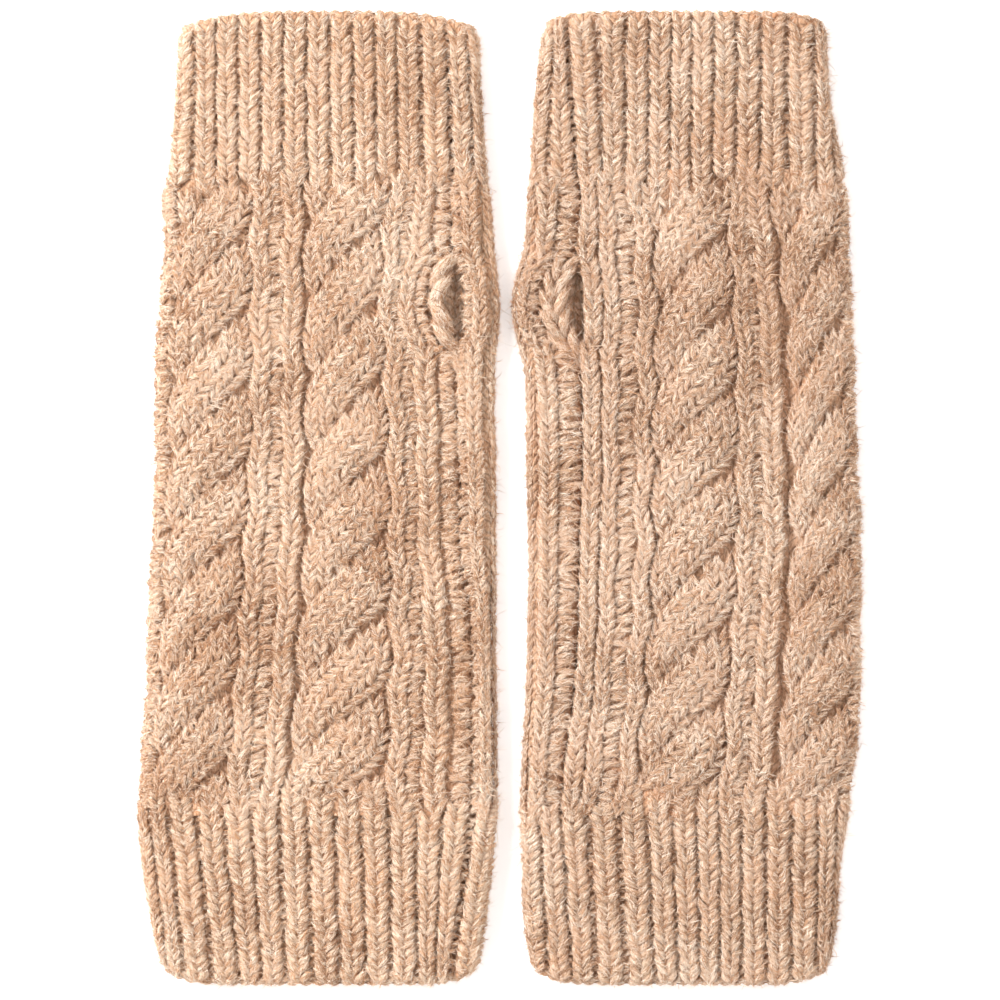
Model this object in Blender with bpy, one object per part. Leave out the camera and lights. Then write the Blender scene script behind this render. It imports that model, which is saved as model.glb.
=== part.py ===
# A pair of fingerless knitted wrist warmers with cables on the back, laid flat side by side.
# Each is one knitted panel with a ribbed cuff at both ends, folded round into a tube and sewn up
# at the thumb side. The seam is left open for the thumb, and that edge has a rolled rim.
# Each stretch of a tube is several solids that meet along the side folds and the seam, so that its
# collision stays open where the hand goes in: the back from the outer fold to the seam, the
# strip from the seam to the thumb-side fold, and the palm. Where the thumb hole is, the columns
# of the back that run along the seam are a band of their own.
# Sizes are in millimetres and the meshes are written in metres. +X is to the right, +Y runs from
# the arm end to the knuckle end, +Z is up. The origin is under the middle of the pair.

import math

import bmesh
import bpy
import numpy as np

METRES = 0.001

# Driving sizes
LENGTH = 282.5
JOIN_ARM = 49.3
JOIN_KNUCKLE = 236.3
PIECE_GAP = 0.3
WALL = 3.2
HOLLOW = 0.8
HEIGHT = 2 * WALL + HOLLOW
CROWN = 0.8
FOLD_REACH = 4.2
FOLD_ANGLES = (30, 60)
FOLD_TOP = FOLD_REACH * (1 - math.cos(math.radians(FOLD_ANGLES[-1])))
INNER_REACH = 3.4
INNER_CORNER = 0.6

# Raised stitches: heights over the plain wall
KNIT_RISE = 1.3
PURL_RISE = -0.3
GAP_RISE = -1.0
SEAM_RISE = -2.0
RIB_RISE = 1.4
CABLE_RISE = 3.0
CABLE_FLOOR = 0.3
CABLE_STOPS = 7
CABLE_LEAN = 1.5
CABLE_SWEEP = 20.5
CABLE_WAIST = 0.7
CABLE_PEAKS = (0.3, 0.7)
CABLE_ROUNDNESS = 0.5
CABLE_LOW_SHARE = 0.3

# Spacing of the sections along the tube
PANEL_STEP = 4.4
CUFF_STEPS = (0.0, 0.33, 0.66, 0.93, 1.0)
EDGE_ROUNDING = 0.35

# Thumb slit, measured along the seam
THUMB_START = 184.0
THUMB_END = 211.0
THUMB_MIDDLE = (THUMB_START + THUMB_END) / 2
HOLE_WIDTH = 5.2
RIM_BASE = WALL + HOLLOW + 0.2
RIM_HEIGHT = 5.4
RIM_STEPS = 12
RIM_SIDES = 10
RIM_END_SHARE = 0.4
RIM_LOW_SHARE = 0.45

# Side folds and seam of both mittens, from the arm edge (y 0) to the knuckle edge
EDGE_COLUMNS = ("y", "l_left", "l_right", "l_seam", "r_left", "r_right", "r_seam")
EDGES = (
    (0.0, -97.8, -6.4, -15.6, 9.7, 94.7, 21.0),
    (13.0, -100.6, -4.4, -13.2, 7.4, 96.7, 19.3),
    (36.0, -103.8, -2.3, -9.7, 6.7, 98.3, 17.0),
    (49.0, -104.6, -1.4, -8.2, 6.2, 100.5, 17.5),
    (65.0, -104.5, -1.5, -7.6, 6.8, 102.8, 18.7),
    (83.0, -102.6, -1.7, -7.4, 7.8, 104.3, 21.0),
    (106.0, -102.5, -1.9, -8.3, 8.4, 104.4, 22.5),
    (129.0, -101.1, -1.9, -11.2, 8.6, 104.6, 22.8),
    (152.0, -100.2, -1.9, -11.7, 8.0, 103.5, 23.9),
    (176.0, -100.4, -2.2, -12.6, 7.7, 102.7, 23.3),
    (199.0, -99.0, -0.8, -12.9, 3.9, 101.8, 21.3),
    (213.0, -97.2, -2.2, -13.8, 7.1, 101.1, 22.0),
    (228.0, -98.1, -3.3, -14.1, 8.3, 100.8, 23.3),
    (236.0, -96.0, -4.4, -13.5, 9.1, 99.2, 22.2),
    (257.0, -93.8, -5.9, -15.2, 10.3, 95.3, 19.6),
    (282.5, -92.9, -6.8, -15.5, 12.9, 93.8, 17.8),
)

# Left and right side of each cable on the back
CABLE_COLUMNS = (
    "y", "l_1_left", "l_1_right", "l_2_left", "l_2_right",
    "r_1_left", "r_1_right", "r_2_left", "r_2_right",
)
CABLES = (
    (49.0, -99.6, -79.6, -62.8, -35.2, 37.8, 61.3, 78.2, 97.6),
    (65.0, -99.9, -79.6, -60.2, -34.4, 40.5, 63.1, 81.1, 99.9),
    (83.0, -98.7, -78.4, -58.4, -33.8, 42.2, 64.2, 82.5, 101.2),
    (106.0, -97.3, -76.7, -57.0, -33.2, 43.9, 66.0, 84.0, 101.4),
    (129.0, -96.4, -75.3, -55.8, -33.5, 45.1, 67.1, 85.1, 101.6),
    (155.0, -95.3, -73.5, -55.5, -33.8, 44.8, 67.4, 84.5, 100.6),
    (184.0, -95.0, -73.2, -55.8, -34.9, 45.7, 67.1, 84.0, 99.6),
    (213.0, -93.2, -73.2, -55.8, -35.2, 45.1, 65.7, 81.3, 98.2),
    (236.0, -91.6, -73.5, -55.5, -33.2, 41.3, 65.1, 78.2, 96.2),
)

# Where the topmost crossing of each cable starts at its right side, and the repeat
CABLE_REPEATS = {
    "l_1": {"start": 216.1, "repeat": 21.9},
    "l_2": {"start": 218.4, "repeat": 22.4},
    "r_1": {"start": 216.1, "repeat": 22.5},
    "r_2": {"start": 213.2, "repeat": 21.9},
}

# Plain columns between two lines of the back: share of the way across, and rise there
SIDE_COLUMN = ((0.5, PURL_RISE),)
KNIT_PURL_KNIT = (
    (0.12, KNIT_RISE), (0.32, KNIT_RISE), (0.45, PURL_RISE), (0.58, KNIT_RISE), (0.86, KNIT_RISE),
)
CABLE_TO_SEAM = (
    (0.08, KNIT_RISE), (0.24, KNIT_RISE), (0.34, PURL_RISE),
    (0.44, KNIT_RISE), (0.72, KNIT_RISE), (0.86, PURL_RISE),
)
SEAM_TO_FOLD = ((0.18, PURL_RISE), (0.32, KNIT_RISE), (0.62, KNIT_RISE))
FOLD_TO_SEAM = ((0.25, KNIT_RISE), (0.48, KNIT_RISE), (0.6, PURL_RISE), (0.86, PURL_RISE))
RIB_SHAPE = ((0.22, 0.75 * RIB_RISE), (0.5, RIB_RISE), (0.78, 0.75 * RIB_RISE))
SEAM_TO_CABLE = (
    (0.08, KNIT_RISE), (0.22, KNIT_RISE), (0.29, GAP_RISE), (0.34, KNIT_RISE),
    (0.47, KNIT_RISE), (0.62, PURL_RISE), (0.77, KNIT_RISE), (0.94, KNIT_RISE),
)

# Dark lines between the ribs of each cuff: x at the free edge and x at the join
RIB_GAPS = {
    "left_knuckle_cuff": (
        (-88.4, -88.8), (-82.5, -82.4), (-76.1, -76.0), (-69.5, -69.4), (-62.9, -63.1),
        (-56.3, -56.0), (-49.6, -49.3), (-43.1, -42.5), (-36.6, -35.9), (-30.3, -29.8),
        (-23.5, -23.0),
    ),
    "left_arm_cuff": (
        (-91.8, -96.6), (-82.8, -88.0), (-75.4, -80.4), (-69.0, -72.4), (-62.2, -64.2),
        (-54.2, -56.0), (-46.3, -48.0), (-38.8, -40.4), (-31.5, -32.4), (-24.0, -24.6),
        (-19.0, -17.0),
    ),
    "right_knuckle_cuff": (
        (16.0, 13.4), (28.6, 29.4), (36.2, 35.9), (43.1, 42.6), (49.4, 48.9), (55.3, 54.8),
        (61.7, 61.2), (68.4, 67.9), (75.4, 75.0), (82.6, 82.5), (90.9, 91.5),
    ),
    "right_arm_cuff": (
        (13.6, 11.4), (27.4, 25.0), (36.8, 34.3), (44.8, 42.2), (51.5, 49.6), (57.7, 56.8),
        (63.5, 63.4), (69.9, 69.6), (76.9, 76.6), (84.1, 84.0), (91.5, 92.2),
    ),
}

# Rounded corners of the free edges: how far a corner falls back, and how sharply
CORNERS = {
    "left_knuckle_cuff": {"drop": 5.2, "power": 4},
    "left_arm_cuff": {"drop": 6.0, "power": 10},
    "right_knuckle_cuff": {"drop": 4.0, "power": 8},
    "right_arm_cuff": {"drop": 5.0, "power": 8},
}

# The rim lies on the left side of both thumb holes
RIM_WIDTHS = {"left": 5.6, "right": 7.6}

# Colour and roughness of each piece
FINISHES = {
    "knuckle_cuff": {"colour": (0.69, 0.47, 0.32), "roughness": 0.93},
    "cable_panel": {"colour": (0.72, 0.50, 0.35), "roughness": 0.95},
    "arm_cuff": {"colour": (0.70, 0.47, 0.32), "roughness": 0.93},
    "thumb_rim": {"colour": (0.76, 0.56, 0.42), "roughness": 0.9},
}


def smooth(table, columns, name, y):
    """The value of a column at y, on a smooth curve through the rows."""
    rows = np.array(table)
    heights = rows[:, 0]
    values = rows[:, columns.index(name)]
    slopes = np.gradient(values, heights)
    i = int(np.clip(np.searchsorted(heights, y) - 1, 0, len(heights) - 2))
    span = heights[i + 1] - heights[i]
    t = min(max((y - heights[i]) / span, 0.0), 1.0)
    start = (1 + 2 * t) * (1 - t) ** 2 * values[i] + t * (1 - t) ** 2 * span * slopes[i]
    end = t * t * (3 - 2 * t) * values[i + 1] - t * t * (1 - t) * span * slopes[i + 1]
    return start + end


def edge_at(side, name, y):
    return smooth(EDGES, EDGE_COLUMNS, f"{side[0]}_{name}", y)


def thumb_opening(y):
    """0 outside the thumb slit, 1 at its middle."""
    t = (y - THUMB_MIDDLE) / ((THUMB_END - THUMB_START) / 2)
    return math.sqrt(max(1 - t * t, 0))


def seam_lips(side, y):
    """The two ends of the wall at the seam: x of the left one and of the right one."""
    middle = edge_at(side, "seam", y)
    opening = thumb_opening(y)
    left_reach = HOLE_WIDTH / 2 + RIM_WIDTHS[side] + PIECE_GAP
    right_reach = HOLE_WIDTH / 2
    return (
        middle - PIECE_GAP / 2 - left_reach * opening,
        middle + PIECE_GAP / 2 + right_reach * opening,
    )


def cable_phase(cable, y, across):
    """How far down one repeat of the cable a point lies: 0 just under a groove, 1 at the next."""
    sizes = CABLE_REPEATS[cable]
    groove = sizes["start"] - CABLE_SWEEP * (1 - across) ** CABLE_LEAN
    return ((groove - y) / sizes["repeat"]) % 1.0


def cable_rise(cable, y, across):
    """Two strands twisted as a rope: a strand comes up from behind at the right and dives at the left."""
    phase = cable_phase(cable, y, across)
    left_peak, right_peak = CABLE_PEAKS
    peak = left_peak + (right_peak - left_peak) * across
    dome = math.sin(math.pi * phase ** (math.log(0.5) / math.log(peak)))
    body = math.sin(math.pi * across) ** CABLE_ROUNDNESS
    height = CABLE_LOW_SHARE + (1 - CABLE_LOW_SHARE) * dome
    return CABLE_FLOOR + (CABLE_RISE - CABLE_FLOOR) * body * height


def cable_side(cable, side_name, y):
    """x of a cable's side, pulled in at each crossing."""
    sizes = CABLE_REPEATS[cable]
    start = sizes["start"] if side_name == "right" else sizes["start"] - CABLE_SWEEP
    pull = CABLE_WAIST * math.cos(2 * math.pi * (y - start) / sizes["repeat"])
    inwards = -1 if side_name == "right" else 1
    return smooth(CABLES, CABLE_COLUMNS, f"{cable}_{side_name}", y) + inwards * pull


def between(left, right, stops):
    """Points (x, rise) at shares of the way between two lines."""
    return [(left + (right - left) * share, rise) for share, rise in stops]


def cable_stops(cable, y):
    left = cable_side(cable, "left", y)
    right = cable_side(cable, "right", y)
    points = [(left, GAP_RISE)]
    for i in range(CABLE_STOPS):
        across = (i + 1) / (CABLE_STOPS + 1)
        points.append((left + (right - left) * across, cable_rise(cable, y, across)))
    points.append((right, GAP_RISE))
    return points


def panel_profile(side, y):
    """Points (x, rise) across the back, a run from left to right for each layer of the top."""
    left_fold = edge_at(side, "left", y)
    right_fold = edge_at(side, "right", y)
    left_lip, right_lip = seam_lips(side, y)
    first = cable_stops(f"{side[0]}_1", y)
    second = cable_stops(f"{side[0]}_2", y)
    middle = between(first[-1][0], second[0][0], KNIT_PURL_KNIT)
    back = first + middle + second
    if side == "left":
        valley = back[-1][0]
        back = between(left_fold, first[0][0], SIDE_COLUMN) + back
        band = [(valley + PIECE_GAP, GAP_RISE)] + between(valley, left_lip, CABLE_TO_SEAM)
        band.append((left_lip, SEAM_RISE))
        strip = [(right_lip, SEAM_RISE)] + between(right_lip, right_fold, SEAM_TO_FOLD)
    else:
        valley = back[0][0]
        band = [(right_lip, SEAM_RISE)] + between(right_lip, valley, SEAM_TO_CABLE)
        band.append((valley - PIECE_GAP, GAP_RISE))
        strip = between(left_fold, left_lip, FOLD_TO_SEAM) + [(left_lip, SEAM_RISE)]
    return {"back": back, "thumb_band": band, "thumb_strip": strip}


def rib_profile(side, name, y, share):
    """The same for a cuff, where ribs run the whole way across. share is 0 at the join."""
    left_fold = edge_at(side, "left", y)
    right_fold = edge_at(side, "right", y)
    left_lip, right_lip = seam_lips(side, y)
    lines = [at_join + (at_edge - at_join) * share for at_edge, at_join in RIB_GAPS[name]]
    runs = []
    for start, stop in ((left_fold + FOLD_TOP, left_lip), (right_lip, right_fold - FOLD_TOP)):
        inside = [x for x in lines if start < x < stop]
        points = [(x, GAP_RISE) for x in inside]
        bounds = [start] + inside + [stop]
        for a, b in zip(bounds, bounds[1:]):
            points += between(a, b, RIB_SHAPE)
        points.append((stop, SEAM_RISE) if stop == left_lip else (start, SEAM_RISE))
        runs.append(sorted(points))
    layers = ("back", "thumb_strip") if side == "left" else ("thumb_strip", "back")
    return dict(zip(layers, runs))


def plain_height(x, left_fold, right_fold):
    """Top of the plain wall: rounded at the side folds, slightly crowned between them."""
    inwards = min(x - left_fold, right_fold - x)
    half = (right_fold - left_fold) / 2
    crown = CROWN * (1 - ((x - left_fold - half) / half) ** 2)
    if inwards >= FOLD_REACH:
        return HEIGHT + crown
    t = 1 - max(inwards, 0) / FOLD_REACH
    return HEIGHT / 2 + (HEIGHT / 2) * math.sqrt(1 - t * t) + crown


def fold_points(fold, inwards, upwards):
    """The rounded side fold from its middle to its top, or to its underside. inwards is +1 on
    the left side, and upwards is +1 for the top."""
    middle = HEIGHT / 2
    points = [(fold, middle + upwards * PIECE_GAP / 2)]
    for angle in FOLD_ANGLES:
        turn = math.radians(angle)
        x = fold + inwards * FOLD_REACH * (1 - math.cos(turn))
        points.append((x, middle + upwards * middle * math.sin(turn)))
    return points


def fold_layer(fold, inwards, raised):
    """Outer and inner points of a layer of the top that starts at a side fold."""
    inner = fold + inwards * INNER_REACH
    roof = WALL + HOLLOW
    return fold_points(fold, inwards, 1) + raised, [
        (inner, HEIGHT / 2 + PIECE_GAP / 2),
        (inner + inwards * INNER_CORNER, roof),
        (raised[-1][0], roof),
    ]


def palm_layer(left_fold, right_fold):
    """Outer and inner points of the palm, from the left fold to the right one."""
    outer = fold_points(left_fold, 1, -1)
    outer += [(left_fold + FOLD_REACH, 0.0), (right_fold - FOLD_REACH, 0.0)]
    outer += reversed(fold_points(right_fold, -1, -1))
    left = left_fold + INNER_REACH
    right = right_fold - INNER_REACH
    rim = HEIGHT / 2 - PIECE_GAP / 2
    return outer, [
        (left, rim), (left + INNER_CORNER, WALL), ((left + right) / 2, WALL),
        (right - INNER_CORNER, WALL), (right, rim),
    ]


def section(side, y, profile):
    """Outer and inner points (x, z) of each layer at y."""
    left_fold = edge_at(side, "left", y)
    right_fold = edge_at(side, "right", y)

    def raised(points):
        kept = []
        for x, rise in points:
            inwards = min(x - left_fold, right_fold - x)
            fade = min(1, (inwards - FOLD_TOP / 2) / FOLD_TOP)
            kept.append((x, plain_height(x, left_fold, right_fold) + rise * fade))
        return kept

    layers = {"palm": palm_layer(left_fold, right_fold)}
    for layer, points in profile.items():
        outer = raised(points)
        if layer == "thumb_band":
            roof = WALL + HOLLOW
            layers[layer] = (outer, [(outer[0][0], roof), (outer[-1][0], roof)])
        elif (layer == "back") == (side == "left"):
            layers[layer] = fold_layer(left_fold, 1, outer)
        else:
            layers[layer] = fold_layer(right_fold, -1, outer[::-1])
    return layers


def add_object(name, kind, points, faces):
    mesh = bpy.data.meshes.new(name)
    mesh.from_pydata([[value * METRES for value in point] for point in points], [], faces)
    shape = bmesh.new()
    shape.from_mesh(mesh)
    bmesh.ops.recalc_face_normals(shape, faces=shape.faces)
    shape.to_mesh(mesh)
    shape.free()
    mesh.shade_smooth()
    mesh.set_sharp_from_angle(angle=math.radians(60))
    obj = bpy.data.objects.new(name, mesh)
    bpy.context.scene.collection.objects.link(obj)
    finish = FINISHES[kind]
    material = bpy.data.materials.new(name)
    material.use_nodes = True
    shader = material.node_tree.nodes["Principled BSDF"]
    shader.inputs["Base Color"].default_value = (*finish["colour"], 1)
    shader.inputs["Roughness"].default_value = finish["roughness"]
    shader.inputs["Metallic"].default_value = 0
    mesh.materials.append(material)
    return obj


def end_cap(points, outer, inner):
    """Triangles between the outer and inner edge of one end, along the shorter diagonals."""
    faces = []
    i = 0
    j = 0
    while i < len(outer) - 1 or j < len(inner) - 1:
        outer_next = math.inf
        inner_next = math.inf
        if i < len(outer) - 1:
            outer_next = math.dist(points[outer[i + 1]], points[inner[j]])
        if j < len(inner) - 1:
            inner_next = math.dist(points[outer[i]], points[inner[j + 1]])
        if outer_next <= inner_next:
            faces.append((outer[i], outer[i + 1], inner[j]))
            i += 1
        else:
            faces.append((outer[i], inner[j + 1], inner[j]))
            j += 1
    return faces


def wall_piece(name, kind, sections):
    """One layer through its sections, each (outer, inner) with points (x, y, z)."""
    points = []
    loops = []
    for outer, inner in sections:
        start = len(points)
        points += outer + inner
        outer_ids = list(range(start, start + len(outer)))
        inner_ids = list(range(start + len(outer), len(points)))
        loops.append((outer_ids, inner_ids))
    faces = []
    for (outer_a, inner_a), (outer_b, inner_b) in zip(loops, loops[1:]):
        ring_a = outer_a + inner_a[::-1]
        ring_b = outer_b + inner_b[::-1]
        count = len(ring_a)
        for i in range(count):
            j = (i + 1) % count
            faces.append((ring_a[i], ring_a[j], ring_b[j], ring_b[i]))
    faces += end_cap(points, *loops[0])
    faces += [tuple(reversed(face)) for face in end_cap(points, *loops[-1])]
    return add_object(name, kind, points, faces)


def centred(points, y_of):
    """Points (x, z) of one section as (x, y, z), with y measured from the middle of the length."""
    return [(x, y_of(x) - LENGTH / 2, z) for x, z in points]


def add_layers(side, kind, sections):
    """One solid for each layer, through sections that hold all of the layers."""
    for layer in sections[0]:
        wall_piece(f"{side}_{kind}_{layer}", kind, [part[layer] for part in sections])


def cable_panel(side):
    start = JOIN_ARM + PIECE_GAP / 2
    stop = JOIN_KNUCKLE - PIECE_GAP / 2
    count = round((stop - start) / PANEL_STEP)
    rows = [start + (stop - start) * i / count for i in range(count + 1)]
    rows += [THUMB_START, THUMB_START + 1, THUMB_END - 1, THUMB_END]
    sections = []
    for y in sorted(rows):
        layers = section(side, y, panel_profile(side, y))
        sections.append({
            layer: (centred(outer, lambda x: y), centred(inner, lambda x: y))
            for layer, (outer, inner) in layers.items()
        })
    add_layers(side, "cable_panel", sections)


def cuff(side, kind):
    name = f"{side}_{kind}"
    if kind == "knuckle_cuff":
        join = JOIN_KNUCKLE + PIECE_GAP / 2
        free_edge = LENGTH
    else:
        join = JOIN_ARM - PIECE_GAP / 2
        free_edge = 0.0
    outwards = 1 if free_edge > join else -1
    corner = CORNERS[name]
    sections = []
    for share in CUFF_STEPS:
        y = join + (free_edge - join) * share
        left_fold = edge_at(side, "left", y)
        right_fold = edge_at(side, "right", y)

        def y_at(x):
            across = 2 * (x - left_fold) / (right_fold - left_fold) - 1
            return y - outwards * share * corner["drop"] * abs(across) ** corner["power"]

        layers = section(side, y, rib_profile(side, name, y, share))
        placed = {}
        for layer, (outer, inner) in layers.items():
            if share == CUFF_STEPS[-1]:
                outer = rounded_lip(outer)
            placed[layer] = (centred(outer, y_at), centred(inner, y_at))
        sections.append(placed)
    add_layers(side, kind, sections)


def rounded_lip(outer):
    """The last section of a layer of a cuff, drawn in towards the middle of the tube."""
    middle = outer[0][1]
    return [(x, middle + (z - middle) * (1 - EDGE_ROUNDING)) for x, z in outer]


def thumb_rim(side):
    """A rolled edge along the left side of the thumb hole, thin at both ends."""
    width = RIM_WIDTHS[side]
    reach = math.sqrt(1 - RIM_END_SHARE**2) * (THUMB_END - THUMB_START) / 2
    points = []
    for step in range(RIM_STEPS + 1):
        y = THUMB_MIDDLE - reach + 2 * reach * step / RIM_STEPS
        opening = thumb_opening(y)
        middle = edge_at(side, "seam", y) - (HOLE_WIDTH / 2 + width / 2) * opening
        across = width / 2 * opening
        up = RIM_HEIGHT / 2 * (RIM_LOW_SHARE + (1 - RIM_LOW_SHARE) * opening)
        for corner in range(RIM_SIDES):
            turn = 2 * math.pi * corner / RIM_SIDES
            x = middle + across * math.cos(turn)
            points.append((x, y - LENGTH / 2, RIM_BASE + up + up * math.sin(turn)))
    faces = []
    for step in range(RIM_STEPS):
        for corner in range(RIM_SIDES):
            a = step * RIM_SIDES + corner
            b = step * RIM_SIDES + (corner + 1) % RIM_SIDES
            faces.append((a, b, b + RIM_SIDES, a + RIM_SIDES))
    faces.append(tuple(range(RIM_SIDES)))
    faces.append(tuple(range(RIM_STEPS * RIM_SIDES, (RIM_STEPS + 1) * RIM_SIDES)))
    add_object(f"{side}_thumb_rim", "thumb_rim", points, faces)


def clear_scene():
    for obj in list(bpy.data.objects):
        bpy.data.objects.remove(obj, do_unlink=True)


clear_scene()
for mitten in ("left", "right"):
    cuff(mitten, "knuckle_cuff")
    cable_panel(mitten)
    cuff(mitten, "arm_cuff")
    thumb_rim(mitten)
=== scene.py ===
import math

import bpy
import numpy as np
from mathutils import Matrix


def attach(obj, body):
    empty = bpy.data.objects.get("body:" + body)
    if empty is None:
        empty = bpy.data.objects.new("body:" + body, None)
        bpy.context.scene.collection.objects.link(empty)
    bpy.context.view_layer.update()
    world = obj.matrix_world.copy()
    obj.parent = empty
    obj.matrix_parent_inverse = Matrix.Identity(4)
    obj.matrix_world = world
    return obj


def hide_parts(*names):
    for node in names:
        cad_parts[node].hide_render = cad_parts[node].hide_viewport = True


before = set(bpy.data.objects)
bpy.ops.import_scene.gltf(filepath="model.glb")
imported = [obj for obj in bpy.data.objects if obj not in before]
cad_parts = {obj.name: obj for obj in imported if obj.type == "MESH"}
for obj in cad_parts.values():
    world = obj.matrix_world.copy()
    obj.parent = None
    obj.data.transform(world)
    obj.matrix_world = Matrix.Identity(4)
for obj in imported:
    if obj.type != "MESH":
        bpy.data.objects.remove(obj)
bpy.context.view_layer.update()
mm = 0.001
rng = np.random.default_rng(41)

tube = {
    "length": 282.5, "joinArm": 49.3, "joinKnuckle": 236.3, "gap": 0.3,
    "wall": 3.2, "hollow": 0.8, "height": 7.2, "crown": 0.8,
    "foldReach": 4.2, "foldArc": 6.2, "innerReach": 3.4, "innerCorner": 0.6,
    "roundFolds": 5,  # what the cloth's girth takes beyond twice the tube's width
}
rise = {  # how far each kind of knitting stands up from the plain cloth
    "knit": 1.3, "purl": -0.3, "gap": -1.0, "seam": -2.0, "rib": 1.4, "cable": 2.9, "cableFloor": 0.1,
}
thumb = {"start": 184.0, "end": 211.0, "hole": 5.2, "rimBase": 4.2, "rimHeight": 5.4}
rimWidths = {"left": 5.6, "right": 7.6}

# x of both wrist warmers' side folds and seams, at heights y
edges = {
    "y": (0, 13, 36, 49, 65, 83, 106, 129, 152, 176, 199, 213, 228, 236, 257, 282.5),
    "leftLeft": (-97.8, -100.6, -103.8, -104.6, -104.5, -102.6, -102.5, -101.1, -100.2, -100.4,
                 -99.0, -97.2, -98.1, -96.0, -93.8, -92.9),
    "leftRight": (-6.4, -4.4, -2.3, -1.4, -1.5, -1.7, -1.9, -1.9, -1.9, -2.2, -0.8, -2.2, -3.3,
                  -4.4, -5.9, -6.8),
    "leftSeam": (-15.6, -13.2, -9.7, -8.2, -7.6, -7.4, -8.3, -11.2, -11.7, -12.6, -12.9, -13.8,
                 -14.1, -13.5, -15.2, -15.5),
    "rightLeft": (9.7, 7.4, 6.7, 6.2, 6.8, 7.8, 8.4, 8.6, 8.0, 7.7, 3.9, 7.1, 8.3, 9.1, 10.3, 12.9),
    "rightRight": (94.7, 96.7, 98.3, 100.5, 102.8, 104.3, 104.4, 104.6, 103.5, 102.7, 101.8, 101.1,
                   100.8, 99.2, 95.3, 93.8),
    "rightSeam": (21.0, 19.3, 17.0, 17.5, 18.7, 21.0, 22.5, 22.8, 23.9, 23.3, 21.3, 22.0, 23.3,
                  22.2, 19.6, 17.8),
}
# x of the cables' edges
cables = {
    "y": (49, 65, 83, 106, 129, 155, 184, 213, 236),
    "left1Left": (-99.6, -99.9, -98.7, -97.3, -96.4, -95.3, -95.0, -93.2, -91.6),
    "left1Right": (-79.6, -79.6, -78.4, -76.7, -75.3, -73.5, -73.2, -73.2, -73.5),
    "left2Left": (-62.8, -60.2, -58.4, -57.0, -55.8, -55.5, -55.8, -55.8, -55.5),
    "left2Right": (-35.2, -34.4, -33.8, -33.2, -33.5, -33.8, -34.9, -35.2, -33.2),
    "right1Left": (37.8, 40.5, 42.2, 43.9, 45.1, 44.8, 45.7, 45.1, 41.3),
    "right1Right": (61.3, 63.1, 64.2, 66.0, 67.1, 67.4, 67.1, 65.7, 65.1),
    "right2Left": (78.2, 81.1, 82.5, 84.0, 85.1, 84.5, 84.0, 81.3, 78.2),
    "right2Right": (97.6, 99.9, 101.2, 101.4, 101.6, 100.6, 99.6, 98.2, 96.2),
}
cableTwist = {
    "left1": {"start": 216.1, "repeat": 21.9}, "left2": {"start": 218.4, "repeat": 22.4},
    "right1": {"start": 216.1, "repeat": 22.5}, "right2": {"start": 213.2, "repeat": 21.9},
    "sweep": 20.5, "lean": 1.5, "waist": 1.0, "roundness": 0.5, "low": 0.12, "fullness": 0.62,
    "peak": 0.3, "peakShift": 0.4, "grow": 12,
}

# Dark lines between the ribs: x at the free edge, x at the join
ribGaps = {
    "left_knuckle_cuff": ((-88.4, -88.8), (-82.5, -82.4), (-76.1, -76.0), (-69.5, -69.4),
                          (-62.9, -63.1), (-56.3, -56.0), (-49.6, -49.3), (-43.1, -42.5),
                          (-36.6, -35.9), (-30.3, -29.8), (-23.5, -23.0)),
    "left_arm_cuff": ((-91.8, -96.6), (-82.8, -88.0), (-75.4, -80.4), (-69.0, -72.4),
                      (-62.2, -64.2), (-54.2, -56.0), (-46.3, -48.0), (-38.8, -40.4),
                      (-31.5, -32.4), (-24.0, -24.6), (-19.0, -17.0)),
    "right_knuckle_cuff": ((16.0, 13.4), (28.6, 29.4), (36.2, 35.9), (43.1, 42.6), (49.4, 48.9),
                           (55.3, 54.8), (61.7, 61.2), (68.4, 67.9), (75.4, 75.0), (82.6, 82.5),
                           (90.9, 91.5)),
    "right_arm_cuff": ((13.6, 11.4), (27.4, 25.0), (36.8, 34.3), (44.8, 42.2), (51.5, 49.6),
                       (57.7, 56.8), (63.5, 63.4), (69.9, 69.6), (76.9, 76.6), (84.1, 84.0),
                       (91.5, 92.2)),
}
# how far each cuff's corners draw back, and how sharply they are rounded
corners = {
    "left_knuckle_cuff": (5.2, 4), "left_arm_cuff": (6.0, 10),
    "right_knuckle_cuff": (4.0, 8), "right_arm_cuff": (5.0, 8),
}

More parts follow.
